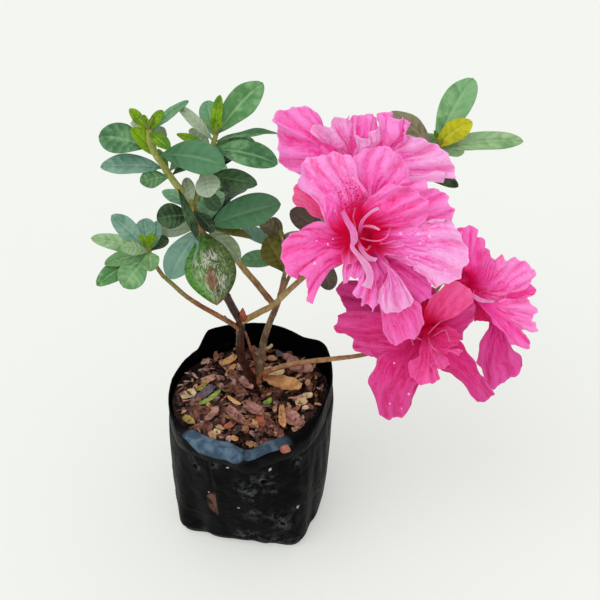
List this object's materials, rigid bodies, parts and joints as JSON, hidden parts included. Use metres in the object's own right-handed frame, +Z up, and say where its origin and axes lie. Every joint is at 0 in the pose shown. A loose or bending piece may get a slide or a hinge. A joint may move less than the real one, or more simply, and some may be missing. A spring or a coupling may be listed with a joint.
{
  "type": "azalea shrub in a nursery bag",
  "caption": "Small azalea shrub with ruffled pink blooms and whorls of leaves, growing in soil in a black film nursery bag.",
  "frame": {"origin": "centre of the flat underside of the nursery bag, on the surface that it stands on", "axes": "+Z up, +X to the plant's right where its lowest branch with blooms reaches out, -Y to its front, the side that the blooms face"},
  "size_m": [0.2138, 0.1038, 0.2341],
  "materials": {
    "bag": "black polythene film, satin, dusty",
    "soil": "dark potting soil with leaf litter and bark chips",
    "bark": "smooth brown young bark",
    "leaves": "satin green leaves",
    "petals": "soft pink petals"
  },
  "bodies": {
    "root": {"bag": "bag", "soil": "soil", "main_stem": "bark", "back_stem": "bark", "right_branch": "bark", "left_branch": "bark", "front_branch": "bark", "leaning_branch": "bark", "sucker": "bark", "bloom_front": "petals", "bloom_top": "petals", "bloom_low": "petals", "bloom_right": "petals", "leaves_upper_left": "leaves", "leaves_upper_middle": "leaves", "leaves_fork": "leaves", "leaves_leaning": "leaves", "leaves_left": "leaves", "leaves_back": "leaves", "leaves_under_bloom": "leaves", "leaves_top_right": "leaves", "leaves_right": "leaves", "leaves_rear_left": "leaves", "leaves_rear_right": "leaves"}
  },
  "joints": []
}
